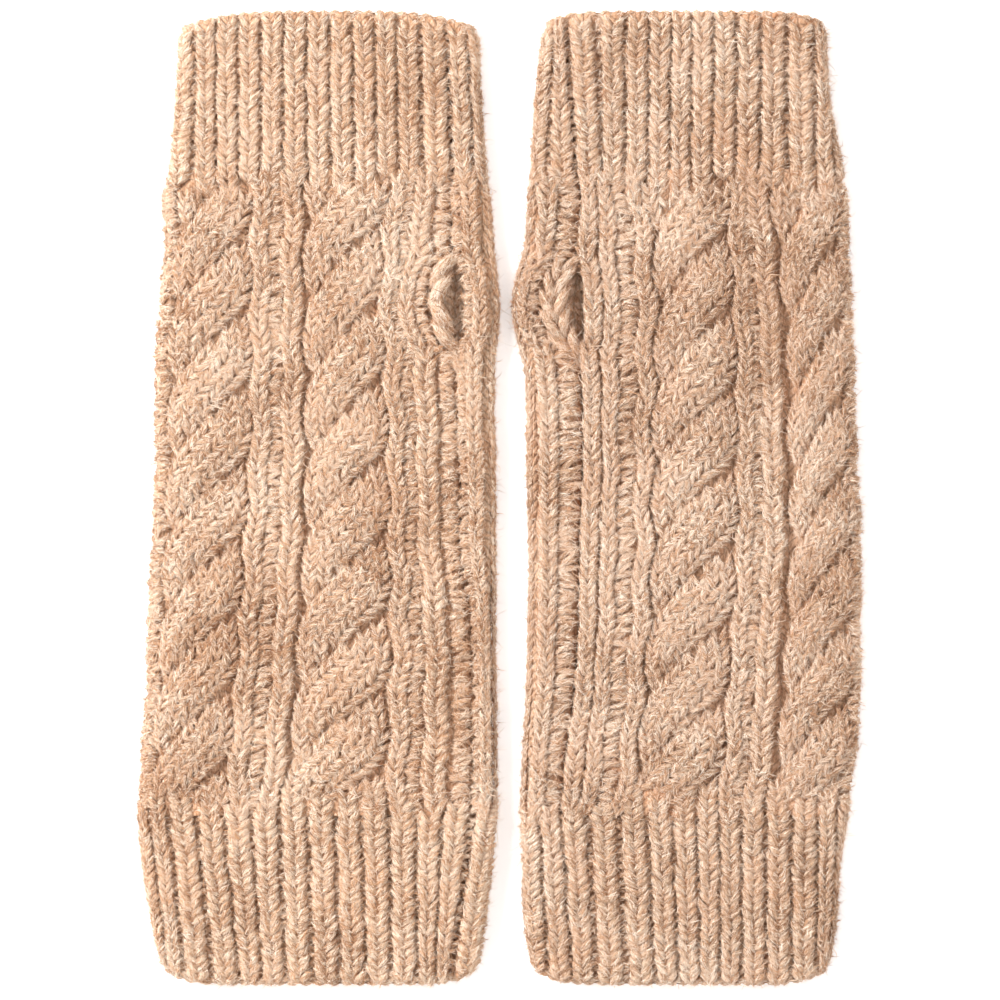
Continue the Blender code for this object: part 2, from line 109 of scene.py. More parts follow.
# plain columns of each panel: the line before, the line after, the share of the way, width, kind
panelColumns = {
    "left": (
        ("foldLeft", "left1Left", 0.42, 3.4, "purl"), ("foldLeft", "left1Left", -0.55, 4.2, "purl"),
        ("left1Right", "left2Left", 0.21, 5.3, "knit"), ("left1Right", "left2Left", 0.46, 4.2, "purl"),
        ("left1Right", "left2Left", 0.73, 5.6, "knit"),
        ("left2Right", "lipLeft", 0.17, 4.8, "knit"), ("left2Right", "lipLeft", 0.35, 3.4, "purl"),
        ("left2Right", "lipLeft", 0.58, 6.4, "knit"), ("left2Right", "lipLeft", 0.86, 3.6, "purl"),
        ("lipRight", "foldRight", 0.13, 2.4, "purl"), ("lipRight", "foldRight", 0.44, 4.3, "knit"),
        ("lipRight", "foldRight", 0.98, 4.6, "knit"),
    ),
    "right": (
        ("foldLeft", "lipLeft", 0.02, 4.6, "knit"), ("foldLeft", "lipLeft", 0.37, 5.0, "knit"),
        ("foldLeft", "lipLeft", 0.75, 5.4, "purl"),
        ("lipRight", "right1Left", 0.12, 4.9, "knit"), ("lipRight", "right1Left", 0.37, 4.4, "knit"),
        ("lipRight", "right1Left", 0.59, 4.9, "purl"), ("lipRight", "right1Left", 0.83, 4.6, "knit"),
        ("right1Right", "right2Left", 0.21, 4.4, "knit"), ("right1Right", "right2Left", 0.4, 3.0, "purl"),
        ("right1Right", "right2Left", 0.66, 6.0, "knit"),
        ("right2Right", "foldRight", 0.7, 3.6, "purl"), ("right2Right", "foldRight", 2.2, 4.2, "purl"),
    ),
}

gauge = {
    "panelRow": 2.78, "cuffRow": 2.32,
    "purlStep": 0.55, "purlRow": 0.8, "purlStand": 0.7,  # shares of a panel row, and the bumps' height
    "ribShare": 0.86, "ribMost": 6.8, "sideRib": 6.4,  # how much of its column a rib fills
    "pastFold": 2.0, "roundFold": 1.6,  # how far ribs and columns begin out on the side folds
}


def smooth(table, name, y):
    # one of a table's lines at y, on a smooth curve through its points
    heights = np.array(table["y"], float)
    values = np.array(table[name], float)
    slopes = np.gradient(values, heights)
    y = np.asarray(y, float)
    i = np.clip(np.searchsorted(heights, y) - 1, 0, len(heights) - 2)
    span = heights[i + 1] - heights[i]
    t = np.clip((y - heights[i]) / span, 0, 1)
    start = (1 + 2 * t) * (1 - t) ** 2 * values[i] + t * (1 - t) ** 2 * span * slopes[i]
    end = t * t * (3 - 2 * t) * values[i + 1] - t * t * (1 - t) * span * slopes[i + 1]
    return start + end


def opening(y):
    # 1 half way up the thumb slit, 0 at its ends
    middle, half = (thumb["start"] + thumb["end"]) / 2, (thumb["end"] - thumb["start"]) / 2
    t = (np.asarray(y, float) - middle) / half
    return np.sqrt(np.clip(1 - t * t, 0, 1))


def lineAt(side, name, y):
    # x of a side fold, of a lip of the thumb slit or of a cable's edge
    if name in ("foldLeft", "foldRight"):
        return smooth(edges, side + name[4:], y)
    if name in ("lipLeft", "lipRight"):
        seam, hole = smooth(edges, side + "Seam", y), thumb["hole"] / 2
        if name == "lipLeft":
            return seam - tube["gap"] / 2 - (hole + rimWidths[side] + tube["gap"]) * opening(y)
        return seam + tube["gap"] / 2 + hole * opening(y)
    hand = "Left" if name.endswith("Left") else "Right"
    twist = cableTwist[name[:-len(hand)]]
    start = twist["start"] - (cableTwist["sweep"] if hand == "Left" else 0)
    pull = cableTwist["waist"] * np.cos(2 * np.pi * (y - start) / twist["repeat"])
    return smooth(cables, name, y) + (pull if hand == "Left" else -pull)


def plainTop(side, x, y):
    # how far the soft tube bulges between its folds
    left, right = lineAt(side, "foldLeft", y), lineAt(side, "foldRight", y)
    half = (right - left) / 2
    return tube["crown"] * np.clip(1 - ((x - left - half) / half) ** 2, 0, 1)


def wrap(side, u, y, lift):
    # unrolled u (x on the flat top) at y, lifted off the cloth: x, z and the way out (nx, nz)
    left, right = lineAt(side, "foldLeft", y), lineAt(side, "foldRight", y)
    reach, arc, middle = tube["foldReach"], tube["foldArc"], tube["height"] / 2
    pastLeft, pastRight = left + reach - u, u - (right - reach)
    past = np.maximum(pastLeft, pastRight)
    way = np.where(pastLeft > pastRight, -1.0, 1.0)
    centre = np.where(way < 0, left + reach, right - reach)
    turn = np.clip(past / arc, 0, 2) * math.pi / 2
    nx, nz = way * np.sin(turn), np.cos(turn)
    x = np.where(past <= 0, u, centre + way * reach * np.sin(turn))
    x = np.where(past > 2 * arc, centre - way * (past - 2 * arc), x)
    z = middle + middle * np.cos(turn) + plainTop(side, x, y) * np.clip(np.cos(turn), 0, 1)
    return x + nx * lift, z + nz * lift, nx, nz


def foldFade(side, u, y):
    # 1 on the flat top, 0 at the side folds, for what stands up off the cloth
    left, right = lineAt(side, "foldLeft", y), lineAt(side, "foldRight", y)
    past = np.maximum(left + tube["foldReach"] - u, u - (right - tube["foldReach"]))
    return np.clip(np.cos(np.clip(past / tube["foldArc"], 0, 1) * math.pi / 2), 0, 1)


def cuffShift(name, side, x, y):
    # how far the rounded corners of a cuff draw its rows back
    if name not in corners:
        return np.zeros(np.shape(y))
    drop, power = corners[name]
    left, right = lineAt(side, "foldLeft", y), lineAt(side, "foldRight", y)
    across = np.clip(2 * (x - left) / (right - left) - 1, -1, 1)
    if "knuckle" in name:
        share = np.clip((y - tube["joinKnuckle"]) / (tube["length"] - tube["joinKnuckle"]), 0, 1.1)
        return -share * drop * np.abs(across) ** power
    share = np.clip((tube["joinArm"] - y) / tube["joinArm"], 0, 1.1)
    return share * drop * np.abs(across) ** power


def toWorld(name, side, u, y, lift):
    # points in metres and their outward normals, shape (..., 3)
    x, z, nx, nz = wrap(side, u, y, lift)
    shifted = y + cuffShift(name, side, x, y) - tube["length"] / 2
    return np.stack([x, shifted, z], -1) * mm, np.stack([nx, np.zeros_like(nx), nz], -1)


# every stitch is a short yarn path on the unrolled cloth, kept in arrays
legShape = {  # one leg of a knit stitch, from its tip up to where it goes behind
    "across": (0.02, 0.13, 0.26, 0.36, 0.4), "along": (-0.64, -0.3, 0.06, 0.44, 0.84),
    "up": (-0.45, 0.15, 0.25, -0.05, -0.7), "thick": (0.45, 0.9, 1.0, 0.9, 0.5),
    "shade": (0.35, 0.85, 1.0, 0.9, 0.3), "radius": 0.2, "width": 5.3, "sunk": 0.75,
    "vary": {"width": 0.06, "along": 0.05, "across": 0.03, "thick": 0.06, "up": 0.14},
}
bumpShape = {  # one purl bump, from side to side
    "across": (-0.5, -0.27, 0.0, 0.27, 0.5), "along": (-0.2, 0.08, 0.2, 0.08, -0.2),
    "up": (-0.6, 0.05, 0.25, 0.05, -0.6), "thick": (0.6, 0.95, 1.0, 0.95, 0.6),
    "shade": (0.5, 0.85, 0.95, 0.85, 0.5), "radius": 0.43, "sunk": 0.7,
    "tilt": 0.25, "arch": (-0.8, 0.8, 0.8),
    "vary": {"tilt": 0.3, "arch": 0.4, "width": 0.12, "along": 0.16, "across": 0.3, "thick": 0.14, "up": 0.2},
}


def emptyYarn():
    return {"u": [], "y": [], "lift": [], "radius": [], "shade": [], "tone": []}


def addYarn(yarn, u, y, lift, radius, shade):
    # shade is 1 on top of a strand and 0 where it dives out of the light
    for key, values in (("u", u), ("y", y), ("lift", lift), ("radius", radius)):
        yarn[key].append(values)
    yarn["shade"].append(np.broadcast_to(shade, u.shape))
    yarn["tone"].append(rng.random(len(u)))


def noise(count):
    return rng.normal(size=(count, 1))


def asRow(values):
    return np.array(values)[None]


def asColumns(*lists):
    return [values[:, None] for values in lists]


def chainWay(x, y):
    # the way a column of stitches runs, as a unit vector
    slope = np.gradient(x, y)
    long = np.sqrt(1 + slope ** 2)
    return slope / long, 1 / long


def knitStitches(yarn, u, y, du, dy, width, row, liftAt, shadeAt=None):
    # v stitches at (u, y). (du, dy) is the way the chain runs upwards, as a unit vector
    shape, vary, count = legShape, legShape["vary"], len(u)
    u, y, du, dy, width, row = asColumns(u, y, du, dy, width, row)
    for hand in (-1, 1):
        across = asRow(shape["across"]) * width * hand * (1 + vary["width"] * noise(count))
        along = asRow(shape["along"]) * row + vary["along"] * row * noise(count)
        across = across + vary["across"] * width * noise(count)
        pu = u + across * dy + along * du
        py = y - across * du + along * dy
        thick = shape["radius"] * width * asRow(shape["thick"])
        thick = thick * (1 + vary["thick"] * noise(count))
        lift = liftAt(pu, py) + asRow(shape["up"]) * (width / shape["width"])
        lift = lift - thick.max(axis=1, keepdims=True) * shape["sunk"]
        lift = lift + vary["up"] * noise(count)
        light = shadeAt(pu, py) if shadeAt else 1.0
        addYarn(yarn, pu, py, lift, thick, asRow(shape["shade"]) * light)


def purlStitches(yarn, u, y, width, row, liftAt):
    # purl bumps at (u, y), each with a tilt and an arch of its own
    shape, vary, count = bumpShape, bumpShape["vary"], len(u)
    u, y, width, row = asColumns(u, y, width, row)
    tilt = shape["tilt"] + vary["tilt"] * noise(count)
    arch = rng.choice(shape["arch"], size=(count, 1)) * (1 + vary["arch"] * noise(count))
    across = asRow(shape["across"]) * width * (1.0 + vary["width"] * noise(count))
    along = asRow(shape["along"]) * row * arch + across * tilt + vary["along"] * noise(count) * row
    pu = u + across + vary["across"] * noise(count)
    py = y + along
    thick = shape["radius"] * row * asRow(shape["thick"]) * (1 + vary["thick"] * noise(count))
    lift = liftAt(pu, py) + asRow(shape["up"]) - thick.max(axis=1, keepdims=True) * shape["sunk"]
    lift = lift + vary["up"] * noise(count)
    addYarn(yarn, pu, py, lift, thick, asRow(shape["shade"]))


def flatRise(side, value):
    return lambda u, y: value * foldFade(side, u, y)


def groove(twist, k, across):
    # y of the groove where strand k of a cable comes out from under the one above
    bend = cableTwist["sweep"] * (1 - across) ** cableTwist["lean"]
    return twist["start"] - k * twist["repeat"] - bend


def cableHeight(across, phase):
    # height over the cloth on a lobe: phase runs from one groove down to the next
    peak, low = cableTwist["peak"] + cableTwist["peakShift"] * across, cableTwist["low"]
    dome = np.sin(np.pi * phase ** (np.log(0.5) / np.log(peak)))
    body = np.sin(np.pi * across) ** cableTwist["roundness"]
    body = body * (low + (1 - low) * dome ** cableTwist["fullness"])
    return rise["cableFloor"] + (rise["cable"] - rise["cableFloor"]) * body


def cableLift(side, cable, k):
    # height over the cloth of the strand in front between groove k and the next
    twist = cableTwist[cable]

    def lift(u, y):
        left, right = lineAt(side, cable + "Left", y), lineAt(side, cable + "Right", y)
        across = np.clip((u - left) / (right - left), 0.001, 0.999)
        phase = np.clip((groove(twist, k, across) - y) / twist["repeat"], 0.0005, 0.9995)
        height = cableHeight(across, phase)
        inPanel = np.minimum(tube["joinKnuckle"] - y, y - tube["joinArm"])
        grown = np.clip(inPanel / cableTwist["grow"], 0, 1)
        grown = grown * grown * (3 - 2 * grown)
        height = rise["knit"] + (height - rise["knit"]) * grown
        return height * foldFade(side, u, y) ** 0.5
    return lift


strand = {
    "numbers": range(-2, 9), "above": 6, "below": 50, "step": 0.15,  # from its groove, and how finely
    "crossing": 18.4, "reach": 8.6,  # where it crosses below its groove, and half how long that takes
    "tight": 1 / 6.0, "spread": 1 / 4.4, "steep": 0.7,  # the three chains' spacing, upright and slanted
    "row": 2.7, "chainWidth": 1.12, "late": (3, 7),
    "shade": 0.6, "shadeRise": 0.5, "shadeLeast": 0.4,
}


def cableShade(lift):
    # painted shade: darker towards the floor of the cable
    def shade(u, y):
        lit = strand["shade"] + strand["shadeRise"] * lift(u, y) / rise["cable"]
        return np.clip(lit, strand["shadeLeast"], 1)
    return shade


def cableStitches(yarn, side, cable):
    twist = cableTwist[cable]
    low, high = tube["joinArm"] + 0.6, tube["joinKnuckle"] - 0.4
    for k in strand["numbers"]:
        top = twist["start"] - k * twist["repeat"]
        y = np.arange(top + strand["above"], top - strand["below"], -strand["step"])
        y = y[(y > low - 4) & (y < high + 4)]
        if len(y) < 20:
            continue
        left, right = lineAt(side, cable + "Left", y), lineAt(side, cable + "Right", y)
        width = right - left
        t = np.clip((top - y - strand["crossing"] + strand["reach"]) / (2 * strand["reach"]), 0, 1)
        share = 0.75 - 0.5 * t * t * (3 - 2 * t)
        x = left + share * width
        du, dy = chainWay(x, y)
        slant = np.clip(np.abs(du) / strand["steep"], 0, 1)
        spacing = width * (strand["tight"] + (strand["spread"] - strand["tight"]) * slant)
        lift = cableLift(side, cable, k)
        for j in (-1, 0, 1):
            cx, cy = x + j * spacing * dy, y - j * spacing * du
            distance = np.concatenate([[0], np.cumsum(np.hypot(np.diff(cx), np.diff(cy)))])
            stops = np.arange(rng.random() * strand["row"], distance[-1], strand["row"])
            su, sy, sdu, sdy, sw = (np.interp(stops, distance, line) for line in (cx, cy, du, dy, spacing))
            sl, sr = lineAt(side, cable + "Left", sy), lineAt(side, cable + "Right", sy)
            across = (su - sl) / (sr - sl)
            phase = (groove(twist, k, np.clip(across, 0, 1)) - sy) / twist["repeat"]
            late = rng.uniform(*strand["late"], len(sy))
            inFront = (across > 0.03) & (across < 0.97) & (phase > 0.03) & (phase < 1.0)
            keep = inFront & (sy > low + late) & (sy < high - late)
            if keep.sum():
                row = np.full(keep.sum(), strand["row"])
                knitStitches(yarn, su[keep], sy[keep], sdu[keep], sdy[keep],
                             sw[keep] * strand["chainWidth"], row, lift, cableShade(lift))


def panelYarn(side):
    yarn = emptyYarn()
    low, high = tube["joinArm"] + 0.6, tube["joinKnuckle"] - 0.2
    for before, after, share, width, kind in panelColumns[side]:
        step = gauge["panelRow"] * (1.0 if kind == "knit" else gauge["purlStep"])
        y = np.arange(low + rng.random() * 2, high, step)
        a, b = lineAt(side, before, y), lineAt(side, after, y)
        u = a + (b - a) * share
        if "fold" in before and share <= 0.05:
            u = u - gauge["roundFold"]
        elif "fold" in after and share >= 0.95:
            u = u + gauge["roundFold"]
        w, row = np.full(len(y), width), np.full(len(y), gauge["panelRow"])
        if "lip" in before + after:  # squeezed beside the thumb slit
            w = w * np.clip((b - a) / np.median(b - a), 0.5, 1.1)
        if kind == "knit":
            knitStitches(yarn, u, y, *chainWay(u, y), w, row, flatRise(side, rise["knit"]))
        else:
            stand = flatRise(side, rise["purl"] + gauge["purlStand"])
            purlStitches(yarn, u, y, w, row * gauge["purlRow"], stand)
    for cable in (side + "1", side + "2"):
        cableStitches(yarn, side, cable)
    return yarn


def cuffEnds(name):
    # y of a cuff's free edge and of its join to the panel
    if "knuckle" in name:
        return tube["length"], tube["joinKnuckle"]
    return 0.0, tube["joinArm"]


def cuffLines(side, name):
    # unrolled x of the valleys between ribs, at the free edge and at the join, folds included
    past, ends = gauge["pastFold"], []
    for column, y in enumerate(cuffEnds(name)):
        left, right = lineAt(side, "foldLeft", y) - past, lineAt(side, "foldRight", y) + past
        seam = float(lineAt(side, "lipLeft", y))
        ends.append((left, right, sorted([pair[column] for pair in ribGaps[name]] + [seam])))
    left, right, inside = ends[1]  # the ribs on the folds are counted at the join
    leftCount = max(1, round((inside[0] - left) / gauge["sideRib"]))
    rightCount = max(1, round((right - inside[-1]) / gauge["sideRib"]))
    lines = []
    for left, right, inside in ends:
        first, last = inside[0], inside[-1]
        a = [first - (first - left) * i / leftCount for i in range(leftCount + 1, 0, -1)]
        b = [last + (right - last) * i / rightCount for i in range(1, rightCount + 2)]
        lines.append(np.array(a + inside + b, float))
    return lines


cuff = {
    "intoCable": (7, 12), "intoPanel": (1.5, 5),  # how far its ribs run on into the panel
    "fade": 12, "sink": 1.3,  # they sink into the panel as they go
    "fromJoin": 0.7, "fromKnuckleEdge": 2.6, "fromArmEdge": 2.0, "uneven": 0.8,  # where the rows begin
    "edge": 3.2, "edgeDrop": 2.2, "wobble": 0.12, "wave": 0.35,
    "valleyWidth": 2.4, "valleyRow": 2.1, "valley": -0.4,
    "loop": {"at": (-0.25, 0.25), "half": 0.2, "reach": 0.9, "lift": -1.6, "radius": 1.15},
}


def cuffYarn(side, name):
    yarn, knuckle = emptyYarn(), "knuckle" in name
    free, join = cuffEnds(name)
    atFree, atJoin = cuffLines(side, name)
    if knuckle:
        low, high = join + cuff["fromJoin"], free - cuff["fromKnuckleEdge"]
    else:
        low, high = free + cuff["fromArmEdge"], join - cuff["fromJoin"]
    cableEdges = [(lineAt(side, f"{side}{n}Left", join), lineAt(side, f"{side}{n}Right", join)) for n in (1, 2)]
    loop, turn, inward = cuff["loop"], np.linspace(-1, 1, 5)[None], -1 if knuckle else 1

    def ribLift(u, y):
        drop = np.clip(1 - np.abs(free - y) / cuff["edge"], 0, 1) ** 2
        sink = np.clip((join - y) * -inward / cuff["fade"], 0, 1) ** 1.5
        return (rise["rib"] - cuff["sink"] * sink) * foldFade(side, u, y) - cuff["edgeDrop"] * drop

    for i in range(len(atFree) - 1):
        middle = (atJoin[i] + atJoin[i + 1]) / 2
        intoCable = any(left < middle < right for left, right in cableEdges)
        past = rng.uniform(*cuff["intoCable" if intoCable else "intoPanel"])
        start = low + rng.random() * cuff["uneven"] - (past if knuckle else 0)
        y = np.arange(start, high + (0 if knuckle else past), gauge["cuffRow"])
        share = (y - join) / (free - join)
        a = atJoin[i] + (atFree[i] - atJoin[i]) * share
        b = atJoin[i + 1] + (atFree[i + 1] - atJoin[i + 1]) * share
        u = (a + b) / 2 + cuff["wobble"] * np.sin(y * cuff["wave"] + i)
        w = np.minimum((b - a) * gauge["ribShare"], gauge["ribMost"])
        knitStitches(yarn, u, y, *chainWay(u, y), w, np.full(len(y), gauge["cuffRow"]), ribLift)
        # cast-on or bind-off loops that close the rib at the free edge
        end = -1 if knuckle else 0
        cu, cw = (a[end] + b[end]) / 2, b[end] - a[end]
        for part in loop["at"]:
            pu = np.full((1, 5), cu) + part * cw + turn * cw * loop["half"]
            py = np.full((1, 5), free) + inward * (loop["reach"] + loop["reach"] * turn ** 2)
            thick = loop["radius"] * (1 - 0.3 * turn ** 2)
            # painted shade: each loop is painted darker towards its ends
            addYarn(yarn, pu, py, loop["lift"] - 0.5 * turn ** 2, thick, 1 - 0.5 * turn ** 2)
        # the purl valley between this rib and the next
        v = np.arange(low, high, gauge["cuffRow"])
        pu = atJoin[i] + (atFree[i] - atJoin[i]) * ((v - join) / (free - join))
        wide, row = np.full(len(v), cuff["valleyWidth"]), np.full(len(v), cuff["valleyRow"])
        purlStitches(yarn, pu, v, wide, row, flatRise(side, cuff["valley"]))
    return yarn


thumbRim = {
    "left": {"step": 7.0, "radius": 2.3, "slant": 0.45, "apart": 0.0, "tail": 3.5},
    "right": {"step": 6.0, "radius": 1.6, "slant": 0.42, "apart": 1.8, "tail": -1.0},
    "length": 10.5, "sides": 9, "tuck": 0.6, "stagger": 0.8, "dip": 2.6, "vary": 0.25,
}


def rimYarn(side):
    # the rolled edge of the thumb hole: fat slack strands, one over the next down its left side
    yarn = emptyYarn()
    width, sizes = rimWidths[side], thumbRim[side]
    middle = (thumb["start"] + thumb["end"]) / 2
    t = np.linspace(-0.5, 0.5, 9)
    swell = np.sin(np.pi * (t + 0.5))
    for y in np.arange(thumb["start"] - sizes["tail"], thumb["end"] + 1.0, sizes["step"]):
        for hand in (-1, 1) if sizes["apart"] else (1 if y > middle else -1,):
            shift = thumbRim["stagger"] * hand * np.sign(sizes["apart"])
            py = y + shift + thumbRim["length"] * t * rng.uniform(0.9, 1.1)
            agape = opening(py)
            out = (thumb["hole"] / 2 + width / 2 - thumbRim["tuck"]) * agape
            pu = smooth(edges, side + "Seam", py) - out
            pu = pu + hand * (sizes["apart"] + sizes["slant"] * thumbRim["length"] * t)
            thick = sizes["radius"] * (0.3 + 0.7 * swell) * (0.8 + 0.2 * agape) * rng.uniform(0.9, 1.08)
            top = thumb["rimBase"] + thumb["rimHeight"] * (0.45 + 0.55 * agape) - tube["height"] - 0.5
            lift = top - thumbRim["dip"] * (2 * t) ** 2 + thumbRim["vary"] * rng.normal()
            # painted shade: each rim strand is painted darker towards its ends, where it dives
            shade = 0.2 + 0.8 * swell
            addYarn(yarn, pu[None], py[None], lift[None], thick[None], shade[None])
    return yarn


def newMesh(name, verts, faces, attributes, lowest=0.15):
    verts[:, 2] = np.maximum(verts[:, 2], lowest * mm)  # it lies on the floor
    mesh = bpy.data.meshes.new(name)
    mesh.from_pydata(verts, [], faces)
    mesh.shade_smooth()
    for label, kind, values in attributes:
        layer = mesh.attributes.new(label, kind, "POINT")
        key = "vector" if kind == "FLOAT_VECTOR" else "value"
        layer.data.foreach_set(key, np.asarray(values, np.float32).ravel())
    obj = bpy.data.objects.new(name, mesh)
    bpy.context.scene.collection.objects.link(obj)
    return obj


def unit(vectors):
    return vectors / (np.linalg.norm(vectors, axis=-1, keepdims=True) + 1e-12)


yarnTube = {
    "corners": (-18, 52, 128, 198),  # of a thin strand, in degrees, with the flat side down
    "flat": 0.9, "ply": 0.55, "lit": 0.45, "litTop": 0.7,
}


def sweep(points, out, radius, sides):
    # tubes along points (n, s, 3) in metres, with radii in millimetres
    tangent = unit(np.gradient(points, axis=1))
    across = unit(np.cross(tangent, out))
    lift = np.cross(across, tangent)
    turn = np.radians(yarnTube["corners"]) if sides == 4 else 2 * np.pi * np.arange(sides) / sides
    r = radius[..., None, None] * mm
    ring = points[:, :, None] + across[:, :, None] * np.cos(turn)[None, None, :, None] * r
    ring = ring + lift[:, :, None] * np.sin(turn)[None, None, :, None] * r * yarnTube["flat"]
    n, s = points.shape[:2]
    ids = np.arange(n * s * sides).reshape(n, s, sides)
    nxt = np.roll(ids, -1, axis=2)
    quads = np.stack([ids[:, :-1], nxt[:, :-1], nxt[:, 1:], ids[:, 1:]], -1).reshape(-1, 4)
    caps = np.concatenate([ids[:, 0, ::-1], ids[:, -1]], 0)
    step = np.linalg.norm(np.diff(points, axis=1), axis=-1) / mm
    along = np.concatenate([np.zeros((n, 1)), np.cumsum(step, axis=1)], 1)
    spun = turn[None, None] + yarnTube["ply"] * along[..., None]
    lengthwise = np.broadcast_to(along[..., None], spun.shape)
    yarnAt = np.stack([lengthwise, radius[..., None] * np.cos(spun), radius[..., None] * np.sin(spun)], -1)
    # painted shade: a strand's top is painted lighter than its flanks and underside
    lit = np.clip(yarnTube["lit"] + yarnTube["litTop"] * np.sin(turn), 0, 1)
    faces = quads.tolist() + caps.tolist()
    return ring.reshape(-1, 3), faces, yarnAt.reshape(-1, 3), np.broadcast_to(lit, spun.shape)


def yarnPaths(name, side, yarn):
    # where the strands run, with those under the folds pressed up by the floor
    u, y, lift, radius = (np.concatenate(yarn[key]) for key in ("u", "y", "lift", "radius"))
    points, out = toWorld(name, side, u, y, lift)
    pressed = np.clip((radius + 0.2) * mm - points[..., 2], 0, None).max(axis=1)
    points[..., 2] += pressed[:, None]
    return points, out, radius


def yarnPiece(label, name, side, yarn, sides=4):
    points, out, radius = yarnPaths(name, side, yarn)
    verts, faces, yarnAt, lit = sweep(points, out, radius, sides)
    tones = np.repeat(np.concatenate(yarn["tone"]), points.shape[1] * sides)
    # painted shade along and round each strand, handed to the material as a point attribute
    paintedShades = lit * np.concatenate(yarn["shade"])[..., None]
    obj = newMesh(label, verts, faces, (
        ("yarn", "FLOAT_VECTOR", yarnAt), ("tone", "FLOAT", tones), ("paintedShade", "FLOAT", paintedShades)))
    print(label, len(points), "yarns")
    return obj


fuzz = {  # counts of fibres, and how far they turn off their strand
    "panel": {"count": 165000, "spread": 0.52}, "cuff": {"count": 42000, "spread": 0.4},
    "rim": {"count": 2600, "spread": 0.4},
    "lying": {"length": (1.2, 3.8), "width": 0.2, "lift": 0.42, "tone": 1.0},
    "stray": {"length": (2.2, 5.8), "width": 0.13, "lift": 1.4, "tone": 0.7, "spread": 1.2, "share": 0.06},
    "roll": 0.8, "rollMost": 1.5, "rooted": 0.03, "bend": 0.15, "tipLight": 0.12,
}


def fuzzPiece(label, name, side, yarn, hairs):
    # most fibres lie along the strands, a few long ones stray off the surface
    count, lying, strays = hairs["count"], fuzz["lying"], fuzz["stray"]
    points, out, radius = yarnPaths(name, side, yarn)
    shade = np.concatenate(yarn["shade"])
    tangent = unit(np.gradient(points, axis=1))
    across = unit(np.cross(tangent, out))
    up = np.cross(across, tangent)
    pick, spot = rng.integers(0, len(points), count), rng.integers(0, points.shape[1] - 1, count)
    t = rng.random((count, 1))
    base = points[pick, spot] * (1 - t) + points[pick, spot + 1] * t
    r = radius[pick, spot] + (radius[pick, spot + 1] - radius[pick, spot]) * t[:, 0]
    roll = np.clip(noise(count) * fuzz["roll"], -fuzz["rollMost"], fuzz["rollMost"])
    normal = up[pick, spot] * np.cos(roll) + across[pick, spot] * np.sin(roll)
    aside = across[pick, spot] * np.cos(roll) - up[pick, spot] * np.sin(roll)
    base = base + normal * (r[:, None] * mm)
    loose = rng.random(count) < strays["share"]
    short = ~loose

    def either(key):
        return np.where(loose, strays[key], lying[key])

    turn = noise(count) * np.where(loose, strays["spread"], hairs["spread"])[:, None]
    way = np.where(rng.random((count, 1)) < 0.5, -1.0, 1.0)
    d = way * tangent[pick, spot] * np.cos(turn) + aside * np.sin(turn)
    longer, shorter = rng.uniform(*strays["length"], count), rng.uniform(*lying["length"], count)
    size = np.where(loose, longer, shorter)[:, None] * mm
    stand = np.abs(noise(count)) * either("lift")[:, None] * mm
    half = np.cross(d, normal) * (either("width") * rng.uniform(0.3, 0.7, count))[:, None] * mm
    start = base - d * size * 0.3 - normal * fuzz["rooted"] * mm
    tip = base + d * size * 0.7 + normal * stand
    bent = base + d * size * 0.25 + normal * stand * 0.6 + aside * size * fuzz["bend"] * noise(count)
    triangles = np.stack([(start - half)[short], (start + half)[short], tip[short]], 1)
    corners = ((start - half), (start + half), (bent - half), (bent + half), tip)
    bents = np.stack([corner[loose] for corner in corners], 1)
    verts = np.concatenate([triangles.reshape(-1, 3), bents.reshape(-1, 3)])
    first = np.arange(short.sum())[:, None] * 3
    then = short.sum() * 3 + np.arange(loose.sum())[:, None] * 5
    faces = (first + asRow((0, 1, 2))).tolist()
    faces += (then + asRow((0, 1, 3, 2))).tolist() + (then + asRow((2, 3, 4))).tolist()
    tone = rng.random(count) * either("tone")
    tones = np.concatenate([np.repeat(tone[short], 3), np.repeat(tone[loose], 5)])
    # painted shade: fibres on a strand's flanks are painted darker, and their raised tips painted lighter
    low = (shade[pick, spot] + shade[pick, spot + 1]) / 2 * (0.25 + 0.75 * np.cos(roll[:, 0]))
    high = np.clip(low + fuzz["tipLight"], 0, 1)
    paintedShades = np.concatenate([np.stack([low, low, high], 1)[short].ravel(),
                             np.stack([low, low, high, high, high], 1)[loose].ravel()])
    obj = newMesh(label, verts, faces, (("tone", "FLOAT", tones), ("paintedShade", "FLOAT", paintedShades)))
    print(label, count, "fibres")
    return obj


shell = {
    "drop": 1.0, "purlFill": 0.7, "thin": 0.9, "foldDrop": 0.9, "stepAlong": 1.6,
    "across": {"left": (18, 66), "right": (66, 18)},  # points right and left of the seam
    "meet": 0.01, "short": 0.5, "lowest": 0.05,  # gaps at the joins, at the free edges and to the floor
    "edge": 2.5, "pinch": 0.35,  # how far from a free edge the wall draws in, and how much
    "underStitches": 0.3, "inside": 0.5,  # how light the wall is painted there, as painted shade under the stitches and inside
}


def spanAt(side, before, after, y):
    return float(lineAt(side, before, y)), float(lineAt(side, after, y))


